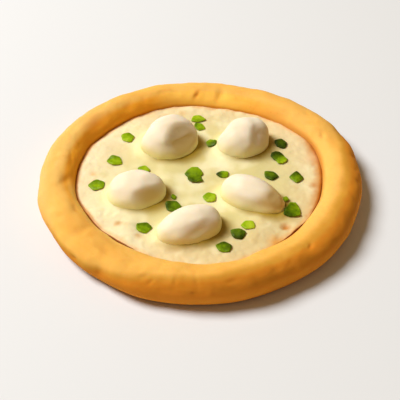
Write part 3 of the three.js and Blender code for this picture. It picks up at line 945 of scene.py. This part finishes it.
# Herb bits, in mm and degrees: place in plan, turn of the first corner and each corner's reach.
# "tint" is the tone from 0, dark, to 1, bright, how much brighter one edge is, and the azimuth
# of that edge. "lie" is how far one edge is tipped up, the azimuth of that edge, how far the
# sides fold up, or down if negative, and the azimuth of the crease.
herb = {
    "thickness": 0.7 * mm,
    "dome": 0.5 * mm,  # how far the middle stands up
    "edgeDrop": 0.5 * mm,  # how far the upper face comes down along the edge
    "rest": 0.1 * mm,  # gap under the leaf
    "crinkle": 0.7 * mm,
    "crinkleSize": 7 * mm,
    "level": 3,
    "bow": 1.05,  # over 1 where a side bulges between its corners, under 1 where it is hollow
    "crumpledBow": 0.98,  # the same for a crumpled bit
    "crumpledCorners": 8,  # a bit with this many corners or more is a crumpled one
    "sideSteps": 4,
    "rounding": 1,  # passes that round the corners off
}
herbs = [
    {"at": (-57.1, 48.2), "turn": 10, "corners": (5.4, 6, 6, 5.4, 6.6),
     "tint": (0.62, 0.3, -120), "lie": (0.36, 80, 0.4, 30)},
    {"at": (-65.4, 19.4), "turn": -30, "corners": (7.4, 5.6, 6, 6.2, 5.6),
     "tint": (0.6, 0.25, -60), "lie": (0.27, 100, 0.6, 160)},
    {"at": (-42.4, 7.6), "turn": 5, "corners": (5.2, 5, 5.4, 4.2, 4.6),
     "tint": (0.7, 0.3, 0), "lie": (0.36, 90, 0.4, 0)},
    {"at": (-76, -8.9), "turn": 30, "corners": (6.4, 6.2, 7.2, 6, 6.4),
     "tint": (0.5, 0.15, -90), "lie": (0.18, 60, 0.5, 10)},
    {"at": (-1.4, 72.4), "turn": -10, "corners": (7, 4.8, 5.6, 6.4, 4.2),
     "tint": (0.7, 0.2, 60), "lie": (0.54, 90, 0.6, 10)},
    {"at": (-0.6, 61.4), "turn": 50, "corners": (4.2, 5.6, 4, 4.4, 5.8),
     "tint": (0.55, 0.3, -30), "lie": (0.63, 120, 0.3, 150)},
    {"at": (9, 39.5), "turn": 28, "corners": (4.8, 5, 4.4, 4.8, 5.4),
     "tint": (0.38, 0.3, 120), "lie": (0.45, 90, -0.4, 0)},
    {"at": (63.5, 40), "turn": 10, "corners": (5.2, 6, 5.4, 5, 7),
     "tint": (0.02, 0, 0), "lie": (0.27, 60, -0.4, 150)},
    {"at": (61, 22.1), "turn": 20, "corners": (5, 5.5, 7, 7.6, 7.4, 6.8, 4.6, 4, 6.6, 7.4, 7.2, 6.9),
     "tint": (0.3, 0.55, -55), "lie": (0.36, 120, 0.8, 30)},
    {"at": (-4, 1.2), "turn": 14, "corners": (6.9, 7.4, 8.8, 8.7, 7.8, 7.9, 5.2, 6.8, 8.1, 8.4, 9.6, 5.1),
     "tint": (0.36, 0.3, 60), "lie": (0.27, 90, 1.2, 0)},
    {"at": (17.4, 2.5), "turn": 35, "corners": (5.2, 3.8, 5.4, 3.6, 4.6),
     "tint": (0.38, 0.45, 0), "lie": (0.23, 90, -0.5, 0)},
    {"at": (53.5, 1.5), "turn": 62, "corners": (5.2, 6.6, 5.2, 5.6, 6),
     "tint": (0.14, 0.1, 120), "lie": (0.36, 120, -0.5, 150)},
    {"at": (72.5, -0.6), "turn": -5, "corners": (5.8, 7, 5.8, 6.6),
     "tint": (0.28, 0.3, -90), "lie": (0.36, 60, -0.8, 90)},
    {"at": (-19, -23), "turn": 20, "corners": (2.2, 2.6, 2, 2.6),
     "tint": (0.45, 0, 0), "lie": (0.09, 90, 0.1, 0)},
    {"at": (-18.8, -33.5), "turn": 0, "corners": (6, 6.2, 7.4, 6, 6),
     "tint": (0.22, 0.2, 0), "lie": (0.36, 100, 0.6, 160)},
    {"at": (7.2, -23.5), "turn": 30, "corners": (5.2, 5, 5.4, 4.6, 5.8),
     "tint": (0.72, 0.3, -60), "lie": (0.45, 90, 0.5, 60)},
    {"at": (62.4, -25.9), "turn": 80, "corners": (3.8, 2.6, 4, 2.4),
     "tint": (0.6, 0, 0), "lie": (0.36, 0, 0.1, 90)},
    {"at": (66.4, -36.6), "turn": 10, "corners": (5.8, 6.4, 8.2, 7.0, 4.6, 4.4, 6.2, 9.6, 8.4, 7.8, 8.2, 6),
     "tint": (0.34, 0.3, 20), "lie": (0.36, 90, 0.9, 40)},
    {"at": (-39, -55.5), "turn": 0, "corners": (6.2, 6, 6.4, 6, 6.6),
     "tint": (0.38, 0.25, -100), "lie": (0.27, 90, 0.7, 120)},
    {"at": (33.6, -52.8), "turn": -35, "corners": (6.4, 5.2, 4.6, 5, 4.4),
     "tint": (0.8, 0.3, -30), "lie": (0.36, 90, 0.4, 150)},
    {"at": (26.8, -60.8), "turn": 8, "corners": (5.6, 4.8, 6.4, 5.2, 5.6),
     "tint": (0.12, 0.15, 100), "lie": (0.45, 90, -0.7, 10)},
    {"at": (16.4, -73.8), "turn": 90, "corners": (5.8, 6.2, 5.4, 6.6, 6),
     "tint": (0.22, 0.2, -120), "lie": (0.23, 90, 0.5, 100)},
]


# A herb bit's outline about its middle: bowed sides between its corners, then rounded off.
def herbOutline(spec):
    count = len(spec["corners"])
    corners = []
    for i, reach in enumerate(spec["corners"]):
        corners.append(Vector(heading(spec["turn"] + 360 * i / count)) * reach * mm)
    bow = herb["bow"] if count < herb["crumpledCorners"] else herb["crumpledBow"]
    outline = []
    for i in range(count):
        start, end = corners[i], corners[(i + 1) % count]
        handle = (start + end) / 2 * (bow * 2 - 1)
        for step in range(herb["sideSteps"]):
            share = step / herb["sideSteps"]
            outline.append(start.lerp(handle, share).lerp(handle.lerp(end, share), share))
    for _ in range(herb["rounding"]):
        before, after = outline[-1:] + outline[:-1], outline[1:] + outline[:1]
        outline = [(p + q * 4 + r) / 6 for p, q, r in zip(before, outline, after)]
    return outline


# Flat fans, one for each bit, with what the leaf tree and the finish read from them.
def herbStart():
    points, faces = [], []
    facts = {name: [] for name in ("share", "seed", "tone", "tipped", "folded", "around")}
    for number, spec in enumerate(herbs):
        first = len(points)
        reach = sum(spec["corners"]) / len(spec["corners"])
        tone, brighter, brightSide = spec["tint"]
        tip, tipSide, fold, crease = spec["lie"]
        outline = [Vector((0, 0)), *herbOutline(spec)]
        for i, offset in enumerate(outline):
            x, y = offset / mm / reach
            aside = reachAlong(y, -x, crease)
            tipped = tip * (reachAlong(x, y, tipSide) + 1) + max(0, -fold)
            points.append((spec["at"][0] * mm + offset.x, spec["at"][1] * mm + offset.y, 0))
            facts["share"].append(0.0 if i == 0 else 1.0)
            facts["seed"].append(float(number))
            facts["tone"].append(tone + brighter * reachAlong(x, y, brightSide))
            facts["tipped"].append(tipped * mm)
            facts["folded"].append(aside * fold * mm)
            facts["around"].append(aside)
        count = len(outline) - 1
        faces += [(first, first + 1 + i, first + 1 + (i + 1) % count) for i in range(count)]
    mesh = bpy.data.meshes.new("herbStart")
    mesh.from_pydata(points, [], faces)
    storeFacts(mesh, facts)
    return mesh


def herbTree(material):
    sizes = {**cheese, **herb}  # the cheese's sizes too, because the bits lie on it
    net = openTree("tornLeaf", sizes, takesMesh=True)
    size = net.sizes
    fine = net.add("GeometryNodeSubdivideMesh", {}, {0: size["Geometry"], "Level": size["level"]})

    def fact(name):
        return net.add("GeometryNodeInputNamedAttribute", {"data_type": "FLOAT"}, {"Name": name})

    place = net.add("GeometryNodeInputPosition")
    x, y, _ = separate(place)
    share, seed, folded = fact("share"), fact("seed"), fact("folded")
    upwards = net.math("SIGN", folded * fact("around"))
    lift = fact("tipped") + net.math("ABSOLUTE", folded) * upwards
    lift = lift + (1 - share * share) * size["dome"]
    crinkle = grain(place, herb["crinkleSize"], 1, seed=seed) * size["crinkle"]
    height = cheeseHeight(net, size, x, y) + size["rest"] + lift + crinkle
    laid = net.add("GeometryNodeSetPosition", {}, {
        0: fine, "Position": combine(net, x, y, height),
    })
    thick = net.add("GeometryNodeExtrudeMesh", {"mode": "FACES"}, {
        "Mesh": laid, "Offset Scale": size["thickness"], "Individual": False,
    })
    isTop = Wire(net, thick.socket.node.outputs["Top"])
    edgeShare = share.ramp(0.8, 1.0)
    lowered = net.add("GeometryNodeSetPosition", {}, {
        0: thick, "Selection": isTop,
        "Offset": combine(net, 0, 0, edgeShare * edgeShare * size["edgeDrop"] * -1),
    })
    under = net.add("GeometryNodeFlipFaces", {}, {0: laid})
    both = net.add("GeometryNodeJoinGeometry", {}, {0: [lowered, under]})
    closeTree(net, both, material)
    return net, sizes


def herbFinish(net, place):
    share, seed, tone = (readFact(net, name) for name in ("share", "seed", "tone"))
    speckle = combine(net, *separate(place)[:2], seed)
    tone = tone + grain(speckle, 4 * mm, seed=19) * 0.7
    # painted highlight in the middle of each bit, and painted light along its rim
    tone = tone + share.fade(0.7, 0.1) * 0.1 + share.fade(0.8, 1.0) * 0.06
    base = net.mix(tone.ramp(0.0, 0.4), paint(50, 66, 2), paint(100, 128, 4))
    base = cover(base, tone.ramp(0.35, 0.75), 142, 172, 8)
    base = cover(base, tone.ramp(0.75, 1.2), 192, 206, 48)
    rough = grain(place, 2 * mm, seed=20) * 0.2 + 0.42
    veins = grain(place, 1.5 * mm, seed=21)
    return base, rough, bumps(veins, 0.4, 0.3 * mm)


def makeHerbs():
    fixed = {
        "Subsurface Weight": 0.3,
        "Subsurface Radius": (1.0, 1.0, 0.1),
        "Subsurface Scale": 2.0 * mm,
        "Specular IOR Level": 0.1,
        "Coat Weight": 0.03,
        "Coat Roughness": 0.3,
    }
    material = finish("freshHerb", fixed, herbFinish)
    net, sizes = herbTree(material)
    piece = grow("tornHerbs", net, sizes, herbStart())
    dress(piece, "herb", *[f"herb_{i + 1:02d}" for i in range(len(herbs))])


# Floor, light and camera
stage = {
    "floorHalf": 8.0,
    "floorColor": (0.753, 0.766, 0.782, 1.0),
    "floorRoughness": 0.85,
    "worldColor": (1.0, 0.74, 0.4, 1.0),
    "worldStrength": 0.22,
    "keyAzimuth": 165,
    "keyElevation": 52,
    "keyDistance": 3.4,
    "keySize": 1.7,
    "keyPower": 146.0,
    "keyColor": (1.0, 1.0, 1.0),
}
shot = {  # lens and sensor in mm
    "aim": (0.25 * mm, -10.9 * mm, 0),
    "distance": 600.2 * mm,
    "elevation": 42.3,
    "lens": 72,
    "sensor": 36,
}


def makeStage():
    half = stage["floorHalf"]
    mesh = bpy.data.meshes.new("floor")
    corners = [(-half, -half, 0), (half, -half, 0), (half, half, 0), (-half, half, 0)]
    mesh.from_pydata(corners, [], [(0, 1, 2, 3)])
    material = bpy.data.materials.new("paleFloor")
    material.use_nodes = True
    shader = material.node_tree.nodes["Principled BSDF"]
    shader.inputs["Base Color"].default_value = stage["floorColor"]
    shader.inputs["Roughness"].default_value = stage["floorRoughness"]
    mesh.materials.append(material)
    addObject("floor", mesh)

    world = bpy.data.worlds.new("studio")
    world.use_nodes = True
    background = world.node_tree.nodes["Background"]
    background.inputs["Color"].default_value = stage["worldColor"]
    background.inputs["Strength"].default_value = stage["worldStrength"]
    bpy.context.scene.world = world

    light = bpy.data.lights.new("keyLight", "AREA")
    light.shape = "DISK"
    light.size = stage["keySize"]
    light.energy = stage["keyPower"]
    light.color = stage["keyColor"]
    key = addObject("keyLight", light)
    toward = direction(stage["keyAzimuth"], stage["keyElevation"])
    key.location = toward * stage["keyDistance"]
    key.rotation_euler = toward.to_track_quat("Z", "Y").to_euler()
    print("stage: floor, soft sky and key light")


def makeCamera():
    lens = bpy.data.cameras.new("camera")
    lens.lens = shot["lens"]
    lens.sensor_width = shot["sensor"]
    camera = addObject("camera", lens)
    back = direction(-90, shot["elevation"])
    camera.location = Vector(shot["aim"]) + back * shot["distance"]
    camera.rotation_euler = (math.radians(90 - shot["elevation"]), 0, 0)
    bpy.context.scene.camera = camera
    bpy.context.scene.view_settings.view_transform = "Standard"
    print(f"camera: {shot['lens']} mm lens at {shot['elevation']} degrees")


makeCamera()
makeStage()
makeCrust()
makeCheese()
makeBalls()
makeHerbs()
